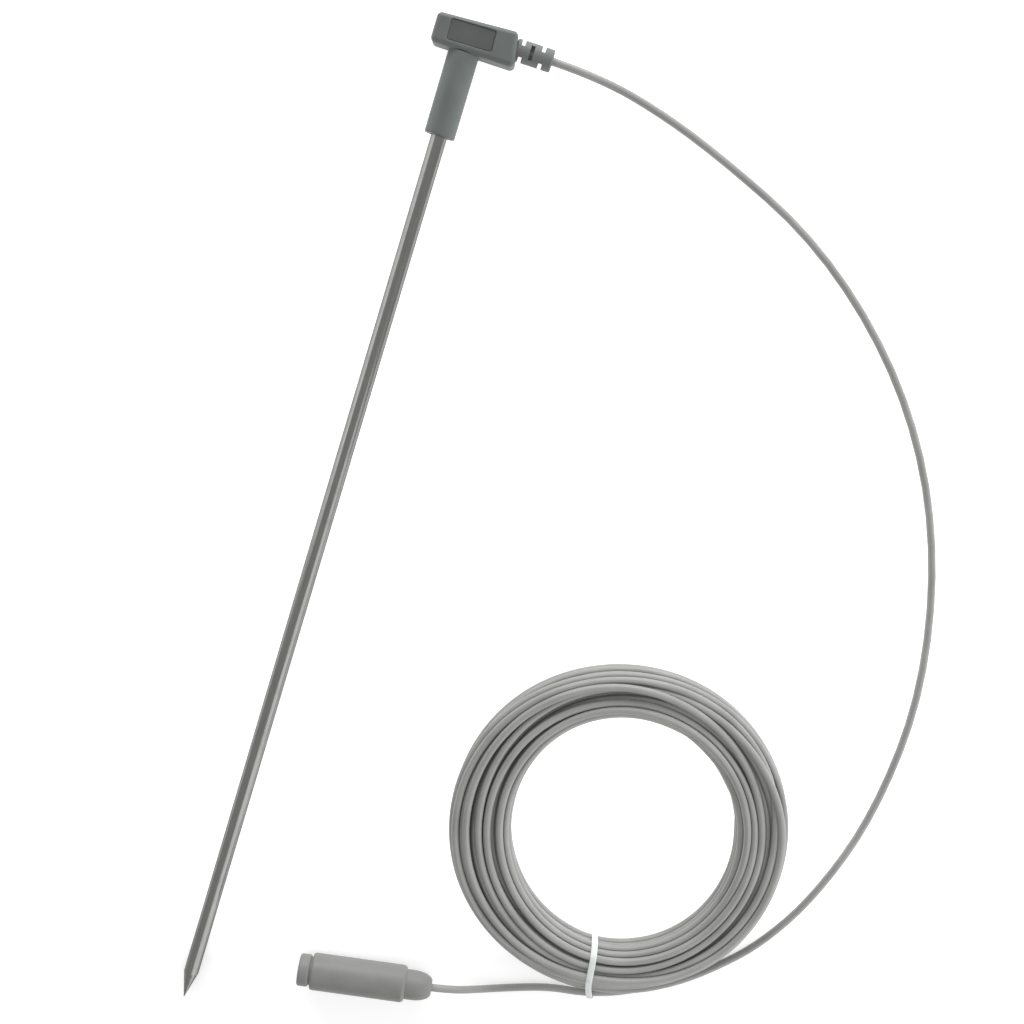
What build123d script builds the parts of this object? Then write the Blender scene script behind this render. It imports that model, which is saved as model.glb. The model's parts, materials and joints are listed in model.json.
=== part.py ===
from build123d import *
import math
import os

# Soil moisture sensor: a pointed steel probe in a T-shaped handle, with a long thin lead
# that is wound into a tied coil and ends in an in-line socket.
# Millimetres, +Z up. The object lies on the plane Z = 0. The probe points along -Y, and
# the lead leaves its handle along +X. The origin is the middle of the probe's footprint.

# ---- Probe ----
probe_length = 337.4          # from the point to the top of the handle
rod_diameter = 5.0
rod_bore = 3.6
shank_diameter = 4.6          # the tube's stepped-down end inside the sleeve and handle
rod_exposed = 301.8           # point included
rod_x = -2.75                 # the rod's axis, to the left of the handle's middle
point_length = 10.0
point_flat = 0.12              # radius left at the very point
point_spigot = 7.0            # how far the pointed plug goes up into the tube
sleeve_diameter = 9.5
sleeve_edge = 0.5
sleeve_neck = 6.2             # the sleeve's neck through the handle's wall
seal_section = 1.2
seal_depth = 3.0              # from the sleeve's mouth to the seal
element_gap = 3.0             # from the plug to the sensing element
element_length = 9.0
element_diameter = 2.4
element_edge = 0.5
potting_length = 15.0

# ---- Handle ----
head_width = 26.4
head_depth = 10.0
head_height_left = 8.9
head_height_right = 10.4      # the top edge climbs towards the lead
head_lean = 1.7               # how far the right end leans inwards at its top
head_edge = 1.5
wall = 1.2
front_wall = 0.9              # left behind the label recess
label_width = 13.6
label_height = 5.9
label_recess = 0.6
label_draft = 35.0            # slope of the recess's sides, in degrees
label_lift = 0.35             # how far the label sits above the handle's middle
label_thickness = 0.3
label_corner = 0.6
label_x = -1.7
ferrule_diameter = 6.4
ferrule_length = 2.4
collar_diameter = 6.9         # the sleeve's collar, held inside the handle
collar_length = 0.9
board_size = (6.4, 5.2, 0.8)
board_post_radius = 0.8
board_post_reach = 2.2        # from the board's middle to each of its two posts
board_post_drop = 1.2         # how far below the board's middle the posts stand
board_post_root = 0.2         # how deep a post is sunk into the cover's floor
wire_diameter = 0.8
wire_pitch = 1.2
wire_bend = 1.1
wire_row = 1.3                # from the board's middle up to the element's two wires
joint_diameter = 0.9
joint_inset = (0.9, 0.7)      # from the board's left and right edges
conductor_radius = 0.35
gasket_inset = (0.6, 0.95)    # the gasket's outer and inner edge, from the outline
gasket_depth = 0.3            # how deep it sits in each shell
gasket_margin = 0.4

# ---- Lead ----
cord_diameter = 2.5
cord_rest = 1.3               # height of the lead's axis where it lies on the surface
relief_diameter = 6.8
relief_core = 3.0
relief_spigot = 4.0           # the part that passes through the handle's wall
relief_rise = 6.0             # height of the lead's axis in the handle
relief_edge = 0.5
relief_sink = 0.4             # how far it is set into the handle's slanting end
relief_window = 4.4           # width of the windows cut in from front and back
relief_floor = 2.2            # thickness left between the two windows
relief_web = 2.6              # web left by the slots cut in from the two sides
relief_rings = (1.2, 1.9, 2.0, 2.8)
relief_slots = (1.25, 1.25, 1.2)
cord_inner_run = 1.6          # how far the lead runs on inside the handle
clamp_run = (0.2, 1.5)        # the clamp's two ends, from the lead's end

# ---- Coil and its tie ----
coil_centre = (121.0, -64.4)
coil_outer = (58.2, 57.7)     # half axes of the outline
coil_hole = (41.3, 38.0)      # half axes of the hole
coil_hole_shift = (1.6, 0.9)
coil_long_axis = -61.0        # degrees from +X
coil_height = 10.8
coil_edge = 3.4
tie_angle = -84.0             # where the tie sits, seen from the coil's centre
tie_slant = 1.0
tie_width = 2.4
tie_thickness = 0.8
tie_slack = 0.7
tie_corner = 2.2
tie_head_size = (4.4, 4.2, 2.2)    # along the coil's radius, across it, and in height
tie_head_edge = 0.5
tie_head_room = 0.1           # room left round the head in the coil's underside

# ---- In-line socket, along its own axis from the mouth ----
socket_mouth = (32.4, -144.6)
socket_heading = 9.0          # degrees from +X, from the mouth to the lead
barrel_diameter = 12.2
barrel_start = 4.4
barrel_end = 36.9
barrel_bore = 9.4
nose_diameter = 10.6
nose_length = 3.9
nose_spigot_end = 8.0
neck_diameter = 9.2
socket_edge = 1.0
barrel_end_edge = 1.4         # the rounding at the lead's end of the barrel
boot_diameter = 9.8
boot_root = 33.4
boot_shoulder = 39.4
boot_end = 45.8
boot_tip_radius = 2.1
contact_outer = 5.0
contact_bore = 3.6
sleeve_contact_end = 11.0
spacer_end = 12.2
tip_contact_end = 16.5
insulator_end = 19.0
tip_contact_bore = 2.8
tag_end = 22.5
tag_size = (1.4, 0.5)
cord_bare_end = 30.5
crimp_wall = 0.7
crimp_run = (0.3, 2.3)        # the crimp's two ends, from the jacket's end
socket_wire_bend = 0.9
lead_exit_run = 10.0
tail_exit_run = 7.0

clearance = 0.05
tip_y = -probe_length / 2
sleeve_y = tip_y + rod_exposed
head_top_y = probe_length / 2
head_y = head_top_y - head_height_right
axis_z = head_depth / 2
cord_radius = cord_diameter / 2
relief_start = head_width / 2 - head_lean / 2 - relief_sink
relief_end = relief_start + sum(relief_rings) + sum(relief_slots)
relief_y = head_y + relief_rise
cord_inner_end = relief_start - wall - cord_inner_run
seal_y = sleeve_y + seal_depth
element_start = tip_y + point_length + point_spigot + element_gap
board_centre = (5.2, head_y + wall + 3.6, 3.6)
board_top = board_centre[2] + board_size[2] / 2
left_joint_x = board_centre[0] - board_size[0] / 2 + joint_inset[0]
right_joint_x = board_centre[0] + board_size[0] / 2 - joint_inset[1]
cavity_depth = (wall, head_depth - label_recess - front_wall)


def bar(start, end, radius):
    """A round bar between two points."""
    line = Vector(*end) - Vector(*start)
    plane = Plane(origin=start, z_dir=line)
    return plane * Cylinder(radius, line.length, align=(Align.CENTER, Align.CENTER, Align.MIN))


def sleeve(start, end, outer_radius, inner_radius):
    """A round tube between two points."""
    return bar(start, end, outer_radius) - bar(start, end, inner_radius)


def block(centre, size):
    """A box by its middle and its three sides."""
    return Pos(*centre) * Box(*size)


def on_rod(y):
    """A point of the rod's axis."""
    return (rod_x, y, axis_z)


def along_lead(x):
    """A point of the strain relief's axis."""
    return (x, relief_y, axis_z)


def lay_down(shape):
    """Tip the probe about the foot of its handle until its point rests on the surface."""
    foot_y = head_y + head_edge
    reach = foot_y - (tip_y + point_length)
    angle = math.degrees(math.atan2(axis_z - rod_diameter / 2, reach))
    return shape.rotate(Axis((0, foot_y, 0), (1, 0, 0)), angle)


def cord_radii(points):
    """One bend radius for each inner point: as large as its two runs allow."""
    vectors = [Vector(*point) for point in points]
    radii = []
    for before, corner, after in zip(vectors, vectors[1:], vectors[2:]):
        runs = (corner - before, after - corner)
        half_turn = math.radians(runs[0].get_angle(runs[1]) / 2)
        radii.append(0.45 * min(run.length for run in runs) / math.tan(half_turn))
    return radii


def cord_tube(points, name):
    """Straight runs joined by tangent arcs, swept with the lead's round section."""
    radii = cord_radii(points)
    path = FilletPolyline(*points, radius=radii)
    start = Plane(origin=path @ 0, z_dir=path % 0)
    tube = sweep(start * Circle(cord_radius), path=path)
    ideal = math.pi * cord_radius**2 * path.length
    print(name, "radii", [round(radius, 1) for radius in radii])
    print(name, "length", round(path.length, 1), "volume ratio", round(tube.volume / ideal, 4))
    return tube


def wire(points, bend):
    """A single insulated wire with rounded bends."""
    path = FilletPolyline(*points, radius=bend)
    start = Plane(origin=path @ 0, z_dir=path % 0)
    return sweep(start * Circle(wire_diameter / 2), path=path)


# ---- Probe ----
def make_probe_tube():
    """Steel tube from the pointed plug up into the handle, stepped down inside the sleeve."""
    top = head_y + wall + collar_length + ferrule_length
    shank = bar(on_rod(sleeve_y), on_rod(top), shank_diameter / 2)
    body = bar(on_rod(tip_y + point_length), on_rod(sleeve_y), rod_diameter / 2) + shank
    return body - bar(on_rod(tip_y), on_rod(head_top_y), rod_bore / 2)


def make_probe_tip():
    """Pointed plug: a cone with a spigot that fills the end of the tube."""
    base = Plane(origin=on_rod(tip_y + point_length), z_dir=(0, -1, 0))
    cone = base * Cone(rod_diameter / 2, point_flat, point_length,
                       align=(Align.CENTER, Align.CENTER, Align.MIN))
    root = tip_y + point_length
    return cone + bar(on_rod(root), on_rod(root + point_spigot), rod_bore / 2)


def make_sensing_element():
    """Sealed element behind the point, with rounded ends."""
    body = bar(on_rod(element_start), on_rod(element_start + element_length),
               element_diameter / 2)
    return fillet(body.edges().filter_by(GeomType.CIRCLE), element_edge)


def make_element_potting(element, wires):
    """Resin that fills the tube around the element and the roots of its wires."""
    start = tip_y + point_length + point_spigot
    plug = bar(on_rod(start), on_rod(start + potting_length), rod_bore / 2)
    return plug - element - wires


def make_lead_wires():
    """Two wires from the element up the tube, turned over on to the circuit board."""
    lines = []
    for side in (-1, 1):
        x = rod_x + side * wire_pitch / 2
        turn_y = board_centre[1] + wire_row - side * wire_pitch / 2
        points = [(x, element_start + element_length, axis_z), (x, turn_y, axis_z),
                  (left_joint_x - joint_diameter / 2, turn_y, axis_z)]
        lines.append(wire(points, wire_bend))
    return lines


def make_rod_sleeve():
    """Round sleeve below the handle, with a collar inside it and a groove for the seal."""
    body = bar(on_rod(sleeve_y), on_rod(head_y), sleeve_diameter / 2)
    low_edge = body.edges().filter_by(GeomType.CIRCLE).sort_by(Axis.Y)[0]
    body = fillet(low_edge, sleeve_edge)
    neck = bar(on_rod(head_y), on_rod(head_y + wall), sleeve_neck / 2)
    collar = bar(on_rod(head_y + wall), on_rod(head_y + wall + collar_length),
                 collar_diameter / 2)
    bore = bar(on_rod(sleeve_y), on_rod(head_top_y), shank_diameter / 2)
    groove = bar(on_rod(seal_y - seal_section / 2), on_rod(seal_y + seal_section / 2),
                 shank_diameter / 2 + seal_section)
    return body + neck + collar - bore - groove


def make_sleeve_seal():
    """O-ring that keeps water out of the sleeve."""
    middle = Plane(origin=on_rod(seal_y), z_dir=(0, 1, 0))
    return middle * Torus(shank_diameter / 2 + seal_section / 2, seal_section / 2)


def make_tube_ferrule():
    """Brass ferrule crimped round the top of the tube."""
    start = head_y + wall + collar_length
    return sleeve(on_rod(start), on_rod(start + ferrule_length),
                  ferrule_diameter / 2, shank_diameter / 2)


# ---- Handle ----
def head_outline(inset):
    """The handle's outline seen from the front, moved inwards by inset."""
    half = head_width / 2
    corners = [(-half, head_y), (half, head_y), (half - head_lean, head_top_y),
               (-half, head_y + head_height_left)]
    outline = make_face(Polyline(*corners, close=True))
    return outline if inset == 0 else offset(outline, -inset, kind=Kind.INTERSECTION)


def make_head_body():
    """The whole handle with its rounded edges, hollow, before it is split."""
    body = extrude(head_outline(0), head_depth)
    body = fillet(body.edges(), head_edge)
    low, high = cavity_depth
    cavity = extrude(Pos(0, 0, low) * head_outline(wall), high - low)
    return body - cavity


def label_block(width, height, thickness, corner, draft=0.0):
    """A rounded block on the recess's floor, turned half as far as the handle's top edge."""
    slope = math.degrees(math.atan2(head_height_right - head_height_left,
                                    head_width - head_lean)) / 2
    middle_y = head_y + (head_height_left + head_height_right) / 4 + label_lift
    face = RectangleRounded(width, height, corner)
    turned = Rot(0, 0, slope) * extrude(face, thickness, taper=-draft)
    return Pos(label_x, middle_y, head_depth - label_recess) * turned


def half_of(body, upper):
    """The part of the body above or below the seam."""
    low = axis_z if upper else -1.0
    high = head_depth + 1.0 if upper else axis_z
    side = 2 * head_width
    return body & block((0, head_y, (low + high) / 2), (side, side, high - low))


def head_openings():
    """What passes through the handle's walls: the sleeve's neck and the strain relief."""
    neck = bar(on_rod(head_y - 1.0), on_rod(head_y + wall), sleeve_neck / 2)
    flange = bar(along_lead(relief_start), along_lead(head_width), relief_diameter / 2)
    spigot = bar(along_lead(relief_start - wall - 1.0), along_lead(head_width),
                 relief_spigot / 2)
    return neck + flange + spigot


def gasket_groove():
    """The channel in the seam of the two shells, cut open where parts pass through."""
    outer_edge, inner_edge = gasket_inset
    face = head_outline(outer_edge) - head_outline(inner_edge)
    ring = extrude(Pos(0, 0, axis_z - gasket_depth) * face, 2 * gasket_depth)
    neck = bar(on_rod(head_y - 1.0), on_rod(head_y + wall), sleeve_neck / 2 + gasket_margin)
    relief = bar(along_lead(relief_start - wall - 1.0), along_lead(head_width),
                 relief_diameter / 2 + gasket_margin)
    strips = (ring - neck - relief).solids().sort_by(SortBy.VOLUME)
    return strips[-2:]


def make_head_front_shell(body, openings, groove):
    """Front half of the handle, with the shallow recess for the label plate."""
    shell = half_of(body, True) - openings - groove[0] - groove[1]
    return shell - label_block(label_width, label_height, 2 * label_recess, label_corner,
                               label_draft)


def make_head_back_cover(body, openings, groove):
    """Back half of the handle, with two posts that carry the circuit board."""
    shell = half_of(body, False) - openings - groove[0] - groove[1]
    for x in (-board_post_reach, board_post_reach):
        foot = (board_centre[0] + x, board_centre[1] - board_post_drop,
                wall - board_post_root)
        head = (foot[0], foot[1], board_top - board_size[2])
        shell = shell + bar(foot, head, board_post_radius)
    return shell


def make_board_components():
    """Chip, two resistors and a capacitor on top of the board."""
    x, y, _ = board_centre
    sizes = (((x + 0.1, y - 0.9), (2.4, 2.0, 0.8)), ((x - 2.2, y - 1.4), (0.7, 1.3, 0.45)),
             ((x + 2.2, y - 1.5), (0.7, 1.3, 0.45)), ((x + 0.1, y + 1.4), (1.3, 0.8, 0.6)))
    return [block((cx, cy, board_top + size[2] / 2), size) for (cx, cy), size in sizes]


def make_wire_joints():
    """Four solder joints: two for the element's wires, two for the lead's conductors."""
    joints = []
    for side in (-1, 1):
        left_y = board_centre[1] + wire_row - side * wire_pitch / 2
        right_y = relief_y + side * wire_pitch / 2
        for x, y in ((left_joint_x, left_y), (right_joint_x, right_y)):
            top = (x, y, axis_z + wire_diameter / 2)
            joints.append(bar((x, y, board_top), top, joint_diameter / 2))
    return joints


def make_strain_relief():
    """Slotted moulding round the lead: rings, side slots and front windows in turn."""
    boot = bar(along_lead(relief_start), along_lead(relief_end), relief_diameter / 2)
    boot = fillet(boot.edges().filter_by(GeomType.CIRCLE), relief_edge)
    boot = boot + bar(along_lead(relief_start - wall), along_lead(relief_start),
                      relief_spigot / 2)
    core = bar(along_lead(relief_start), along_lead(relief_end), relief_core / 2)
    x = relief_start
    for index, (ring, slot) in enumerate(zip(relief_rings, relief_slots)):
        x = x + ring
        middle = along_lead(x + slot / 2)
        gap = block(middle, (slot, relief_diameter + 1, relief_diameter + 1))
        if index == 1:
            cut = block(middle, (slot, relief_window, relief_diameter + 1))
            cut = cut - block(middle, (slot, relief_window, relief_floor))
        else:
            cut = gap - block(middle, (slot, relief_web, relief_diameter + 1)) - core
        boot = boot - cut
        x = x + slot
    return boot - bar(along_lead(relief_start - wall - 1), along_lead(relief_end + 1), cord_radius)


# ---- Lead ----
lead_route = [
    (52.0, 162.6, cord_rest),
    (78.6, 155.1, cord_rest),
    (121.3, 137.7, cord_rest),
    (160.3, 105.3, cord_rest),
    (187.4, 64.1, cord_rest),
    (202.7, 13.0, cord_rest),
    (202.5, -34.0, cord_rest),
    (193.3, -68.4, cord_rest),
    (178.0, -92.5, cord_rest),
    (158.0, -100.0, 1.8),
]
tail_route = [
    (97.0, -133.9, 1.8),
    (109.0, -130.0, cord_rest),
    (117.0, -125.0, cord_rest),
    (122.5, -119.0, 1.8),
]


def make_cord_coil():
    """Closed ring with the outer shape of the wound lead, with a pocket over the tie's head."""
    outer = extrude(Ellipse(*coil_outer), coil_height)
    hole = extrude(Ellipse(*coil_hole), coil_height)
    turned = Rot(0, 0, coil_long_axis)
    ring = turned * outer - Pos(*coil_hole_shift, 0) * turned * hole
    ring = fillet(ring.edges(), coil_edge)
    return Pos(*coil_centre, tie_thickness) * ring - tie_head_block(tie_head_room)


def coil_reach(half_axes, shift, angle):
    """Distance from the coil's centre to an oval, in one direction."""
    turn = math.radians(angle - coil_long_axis)
    radius = 1.0 / math.hypot(math.cos(turn) / half_axes[0], math.sin(turn) / half_axes[1])
    direction = (math.cos(math.radians(angle)), math.sin(math.radians(angle)))
    return radius + shift[0] * direction[0] + shift[1] * direction[1]


def tie_place():
    """The tie's own frame: X along the coil's radius, with its middle in the strap's middle."""
    middle = Pos(tie_middle, 0, tie_thickness + coil_height / 2)
    return Pos(*coil_centre, 0) * Rot(0, 0, tie_angle) * middle * Rot(0, 0, tie_slant)


inner_reach = coil_reach(coil_hole, coil_hole_shift, tie_angle)
outer_reach = coil_reach(coil_outer, (0, 0), tie_angle)
tie_middle = (inner_reach + outer_reach) / 2
tie_opening = (outer_reach - inner_reach + tie_slack, coil_height)


def tie_prism(margin, width):
    """A rounded block across the coil, this much wider and higher than the tie's opening."""
    face = RectangleRounded(tie_opening[0] + 2 * margin, tie_opening[1] + 2 * margin,
                            tie_corner + margin)
    upright = Plane(origin=(0, 0, 0), x_dir=(1, 0, 0), z_dir=(0, -1, 0))
    return extrude(upright * face, width / 2, both=True)


def make_tie_strap():
    """Flat strap round the wound lead, as a rounded frame."""
    strap = tie_prism(tie_thickness, tie_width) - tie_prism(0.0, 2 * tie_width)
    return tie_place() * strap


def tie_head_block(margin):
    """The block of the tie's head under the middle of the coil, this much larger all round."""
    length, width, height = tie_head_size
    bottom = -tie_thickness - coil_height / 2
    body = Box(length + 2 * margin, width + 2 * margin, height + margin)
    return tie_place() * Pos(0, 0, bottom + (height + margin) / 2) * body


def make_tie_head():
    """The tie's locking head, under the coil, with the strap running through its lower side."""
    upright_edges = tie_head_block(0.0).edges().filter_by(Axis.Z)
    head = fillet(upright_edges, tie_head_edge)
    return head - make_tie_strap()


# ---- In-line socket ----
def on_socket(x):
    """A point of the socket's axis, in its own frame."""
    return (x, 0.0, 0.0)


def place_socket(shape):
    """Lay a socket piece on the surface, heading towards the coil."""
    return Pos(*socket_mouth, barrel_diameter / 2) * Rot(0, 0, socket_heading) * shape


def make_socket_barrel():
    """Body of the socket: a thick tube with rounded ends, wider at the lead's end."""
    body = bar(on_socket(barrel_start), on_socket(barrel_end), barrel_diameter / 2)
    ends = body.edges().filter_by(GeomType.CIRCLE).sort_by(Axis.X)
    body = fillet(ends[-1], barrel_end_edge)
    body = fillet(body.edges().filter_by(GeomType.CIRCLE).sort_by(Axis.X)[0], socket_edge)
    bore = bar(on_socket(barrel_start), on_socket(boot_root), barrel_bore / 2)
    mouth = bar(on_socket(boot_root), on_socket(barrel_end), boot_diameter / 2)
    return body - bore - mouth


def make_socket_nose():
    """Front collar, with a neck that makes the groove and a spigot in the barrel."""
    collar = bar(on_socket(0), on_socket(nose_length), nose_diameter / 2)
    collar = fillet(collar.edges().filter_by(GeomType.CIRCLE), 0.8 * socket_edge)
    neck = bar(on_socket(nose_length), on_socket(barrel_start), neck_diameter / 2)
    spigot = bar(on_socket(barrel_start), on_socket(nose_spigot_end), barrel_bore / 2)
    bore = bar(on_socket(0), on_socket(nose_spigot_end), contact_outer / 2)
    return collar + neck + spigot - bore


def make_socket_boot():
    """Domed end piece that the lead leaves from."""
    tip = boot_tip_radius
    outline = [
        Line((boot_root, cord_radius), (boot_root, boot_diameter / 2)),
        Line((boot_root, boot_diameter / 2), (boot_shoulder, boot_diameter / 2)),
        EllipticalCenterArc((boot_shoulder, tip), boot_end - boot_shoulder,
                            boot_diameter / 2 - tip, start_angle=0, arc_size=90),
        Line((boot_end, tip), (boot_end, cord_radius)),
        Line((boot_end, cord_radius), (boot_root, cord_radius)),
    ]
    return revolve(make_face(outline), Axis.X)


def make_sleeve_contact():
    """Round outer contact with a solder tag that runs back beside the inner one."""
    ring = sleeve(on_socket(0), on_socket(sleeve_contact_end), contact_outer / 2,
                  contact_bore / 2)
    tag = block((nose_spigot_end / 2 + tag_end / 2 + 0.2, 0, contact_outer / 2 + tag_size[1] / 2),
                (tag_end - nose_spigot_end - 0.4, tag_size[0], tag_size[1]))
    foot = block((nose_spigot_end + 0.8, 0, contact_outer / 2 - 0.2),
                 (0.8, tag_size[0], 0.5))
    return ring + tag + foot


def make_socket_insulator(contact):
    """Plastic sleeve that holds both contacts inside the barrel."""
    body = sleeve(on_socket(nose_spigot_end), on_socket(insulator_end), barrel_bore / 2,
                  contact_outer / 2)
    slot = block(((nose_spigot_end + insulator_end) / 2, 0, contact_outer / 2 + 0.25),
                 (insulator_end - nose_spigot_end, tag_size[0], tag_size[1] + 0.02))
    return body - slot - contact


def make_tip_contact():
    """Cup that meets the plug's tip, with its solder tag behind."""
    cup = bar(on_socket(spacer_end), on_socket(tip_contact_end), contact_outer / 2)
    cup = cup - bar(on_socket(spacer_end), on_socket(tip_contact_end - 1.0),
                    tip_contact_bore / 2)
    tag = block(((tip_contact_end + tag_end) / 2, 0, 0),
                (tag_end - tip_contact_end, tag_size[0], tag_size[1]))
    return cup + tag


def make_socket_wires():
    """Two bare conductors from the lead's end to the two tags."""
    lift = contact_outer / 2 + tag_size[1] + wire_diameter / 2
    upper = [(cord_bare_end, 0.45, 0.2), (cord_bare_end - 2.6, 0.45, 0.2),
             (tag_end + 1.6, 0.0, lift), (tag_end - 1.6, 0.0, lift)]
    low_z = -tag_size[1] / 2 - wire_diameter / 2
    lower = [(cord_bare_end, -0.45, -0.2), (cord_bare_end - 2.6, -0.45, -0.2),
             (tag_end + 2.0, 0.0, low_z), (tag_end - 1.6, 0.0, low_z)]
    return [wire(upper, socket_wire_bend), wire(lower, socket_wire_bend)]


# ---- Assembly ----
def placed(shapes, place):
    """Put every piece in its place; a list of solids stays together in one node."""
    nodes = {}
    for name, shape in shapes.items():
        if isinstance(shape, (list, ShapeList)):
            nodes[name] = Compound(children=[place(one.solid()) for one in shape])
        else:
            nodes[name] = place(shape)
    return nodes


def probe_nodes():
    """Every piece of the probe and its handle, laid down on the surface."""
    element = make_sensing_element()
    wires = make_lead_wires()
    body = make_head_body()
    openings = head_openings()
    groove = gasket_groove()
    conductor_ends = [along_lead(cord_inner_end), along_lead(right_joint_x + joint_diameter / 2)]
    conductors = []
    for side in (-1, 1):
        points = [(x, y + side * wire_pitch / 2, z) for x, y, z in conductor_ends]
        conductors.append(bar(points[0], points[1], conductor_radius))
    shapes = {
        "probe_tube": make_probe_tube(),
        "probe_tip": make_probe_tip(),
        "sensing_element": element,
        "element_potting": make_element_potting(element, wires[0] + wires[1]),
        "lead_wires": wires,
        "rod_sleeve": make_rod_sleeve(),
        "sleeve_seal": make_sleeve_seal(),
        "tube_ferrule": make_tube_ferrule(),
        "head_front_shell": make_head_front_shell(body, openings, groove),
        "head_back_cover": make_head_back_cover(body, openings, groove),
        "cover_gasket": groove,
        "label_plate": label_block(label_width - 2 * clearance, label_height - 2 * clearance,
                                   label_thickness, label_corner - clearance),
        "circuit_board": block(board_centre, board_size),
        "board_components": make_board_components(),
        "wire_joints": make_wire_joints(),
        "strain_relief": make_strain_relief(),
        "cord_inlet": bar(along_lead(cord_inner_end), along_lead(relief_end), cord_radius),
        "cord_clamp": sleeve(along_lead(cord_inner_end + clamp_run[0]),
                             along_lead(cord_inner_end + clamp_run[1]),
                             cord_radius + crimp_wall, cord_radius),
        "inlet_conductors": conductors,
    }
    return placed(shapes, lay_down)


def socket_nodes():
    """Every piece of the in-line socket."""
    contact = make_sleeve_contact()
    shapes = {
        "socket_barrel": make_socket_barrel(),
        "socket_nose": make_socket_nose(),
        "socket_boot": make_socket_boot(),
        "socket_insulator": make_socket_insulator(contact),
        "sleeve_contact": contact,
        "contact_spacer": sleeve(on_socket(sleeve_contact_end), on_socket(spacer_end),
                                 contact_outer / 2, tip_contact_bore / 2),
        "tip_contact": make_tip_contact(),
        "socket_wires": make_socket_wires(),
        "cord_outlet": bar(on_socket(cord_bare_end), on_socket(boot_end), cord_radius),
        "outlet_crimp": sleeve(on_socket(cord_bare_end + crimp_run[0]),
                               on_socket(cord_bare_end + crimp_run[1]),
                               cord_radius + crimp_wall, cord_radius),
    }
    return placed(shapes, place_socket)


def cord_nodes():
    """The free lead, its coil, the tail and the tie."""
    exit_ends = [lay_down(Vertex(*along_lead(relief_end + run))) for run in (0, lead_exit_run)]
    coil = make_cord_coil()
    boot_ends = [place_socket(Vertex(*on_socket(boot_end + run))) for run in (0, tail_exit_run)]
    lead = cord_tube([tuple(end.center()) for end in exit_ends] + lead_route, "cord_lead")
    tail = cord_tube([tuple(end.center()) for end in boot_ends] + tail_route, "cord_tail")
    return {
        "cord_lead": (lead - coil).solid(),
        "cord_coil": coil,
        "cord_tail": (tail - coil).solid(),
        "tie_strap": make_tie_strap(),
        "tie_head": make_tie_head(),
    }


os.makedirs("parts", exist_ok=True)
assembly = {**probe_nodes(), **cord_nodes(), **socket_nodes()}
for node, shape in assembly.items():
    export_step(shape, f"parts/{node}.step")
print(len(assembly), "nodes")
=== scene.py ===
import math
import json

import bmesh
import bpy
import numpy as np
from mathutils import Matrix, Vector


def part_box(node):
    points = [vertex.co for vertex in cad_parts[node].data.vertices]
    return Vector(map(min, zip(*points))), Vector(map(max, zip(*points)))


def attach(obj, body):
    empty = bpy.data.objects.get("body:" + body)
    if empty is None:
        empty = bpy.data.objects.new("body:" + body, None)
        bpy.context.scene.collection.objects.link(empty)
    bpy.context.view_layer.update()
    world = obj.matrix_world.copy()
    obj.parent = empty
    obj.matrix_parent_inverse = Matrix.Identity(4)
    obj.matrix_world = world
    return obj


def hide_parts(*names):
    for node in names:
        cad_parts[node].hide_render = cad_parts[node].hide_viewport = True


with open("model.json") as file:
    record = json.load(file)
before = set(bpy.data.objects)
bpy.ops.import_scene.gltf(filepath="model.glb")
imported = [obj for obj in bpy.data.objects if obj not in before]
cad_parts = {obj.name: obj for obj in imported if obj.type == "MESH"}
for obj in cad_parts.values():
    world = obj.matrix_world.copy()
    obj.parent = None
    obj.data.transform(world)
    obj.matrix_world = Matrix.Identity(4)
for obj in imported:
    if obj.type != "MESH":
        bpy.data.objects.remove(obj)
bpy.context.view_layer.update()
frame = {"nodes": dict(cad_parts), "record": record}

# Everything below is in metres, in the frame of the CAD model.
MM = 0.001

# ---- Camera: nearly straight down, a little from the handle's end ----
VIEW_CENTRE = Vector((0.0541, 0.0278, 0.0))
VIEW_DISTANCE = 0.4166
VIEW_TILT = math.radians(10.0)
VIEW_TURN = math.radians(17.64)
VIEW_LENS = 45.0


def make_camera():
    """The camera at the photograph's viewing angle."""
    right = Vector((math.cos(VIEW_TURN), math.sin(VIEW_TURN), 0.0))
    ahead = Vector((-math.sin(VIEW_TURN), math.cos(VIEW_TURN), 0.0))
    back = math.cos(VIEW_TILT) * Vector((0, 0, 1)) + math.sin(VIEW_TILT) * ahead
    up = back.cross(right)
    data = bpy.data.cameras.new("camera")
    data.lens = VIEW_LENS
    data.sensor_width = 36.0
    data.clip_start = 0.01
    data.dof.use_dof = False
    camera = bpy.data.objects.new("camera", data)
    bpy.context.scene.collection.objects.link(camera)
    turn = Matrix((right, up, back)).transposed().to_4x4()
    camera.matrix_world = Matrix.Translation(VIEW_CENTRE + VIEW_DISTANCE * back) @ turn
    bpy.context.scene.camera = camera
    return right, ahead


picture_right, picture_up = make_camera()

# ---- Lead ----
CORD_DIAMETER = 2.5 * MM
CORD_RADIUS = CORD_DIAMETER / 2
CORD_REST = 1.3 * MM

LEAD_ROUTE_MM = [
    (52.0, 162.6, 1.3),
    (78.6, 155.1, 1.3),
    (121.3, 137.7, 1.3),
    (160.3, 105.3, 1.3),
    (187.4, 64.1, 1.3),
    (202.7, 13.0, 1.3),
    (202.5, -34.0, 1.3),
    (193.3, -68.4, 1.3),
    (181.3, -90.6, 1.3),
    (168.8, -103.6, 1.6),
]
TAIL_ROUTE_MM = [
    (117.3, -127.3, 1.5),
    (104.1, -131.9, 1.3),
    (94.4, -135.0, 2.4),
]

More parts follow.
